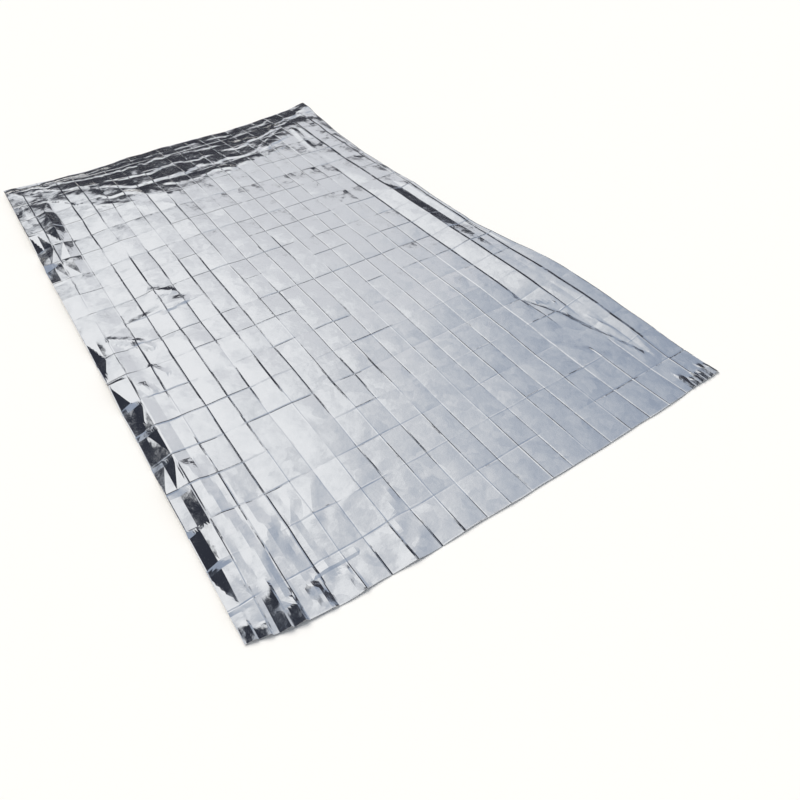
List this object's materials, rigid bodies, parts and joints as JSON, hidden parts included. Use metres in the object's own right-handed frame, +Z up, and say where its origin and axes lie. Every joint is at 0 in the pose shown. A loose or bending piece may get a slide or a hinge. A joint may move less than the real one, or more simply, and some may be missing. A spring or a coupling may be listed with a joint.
{
  "type": "emergency foil blanket",
  "caption": "Rectangular sheet of metallised film laid out flat, with a grid of packing folds, a swagged far edge, a creased margin and rucks along one side.",
  "frame": {"origin": "middle of the laid sheet on the ground", "axes": "+Z up, +Y along the long folds from the near edge to the swagged far edge, +X across the sheet to the rucked side"},
  "size_m": [1.5284, 2.1176, 0.0514],
  "materials": {
    "foil": "aluminised polyester film, bright and crinkled, silver on both faces"
  },
  "bodies": {
    "root": {"foil_sheet": "foil"}
  },
  "joints": []
}
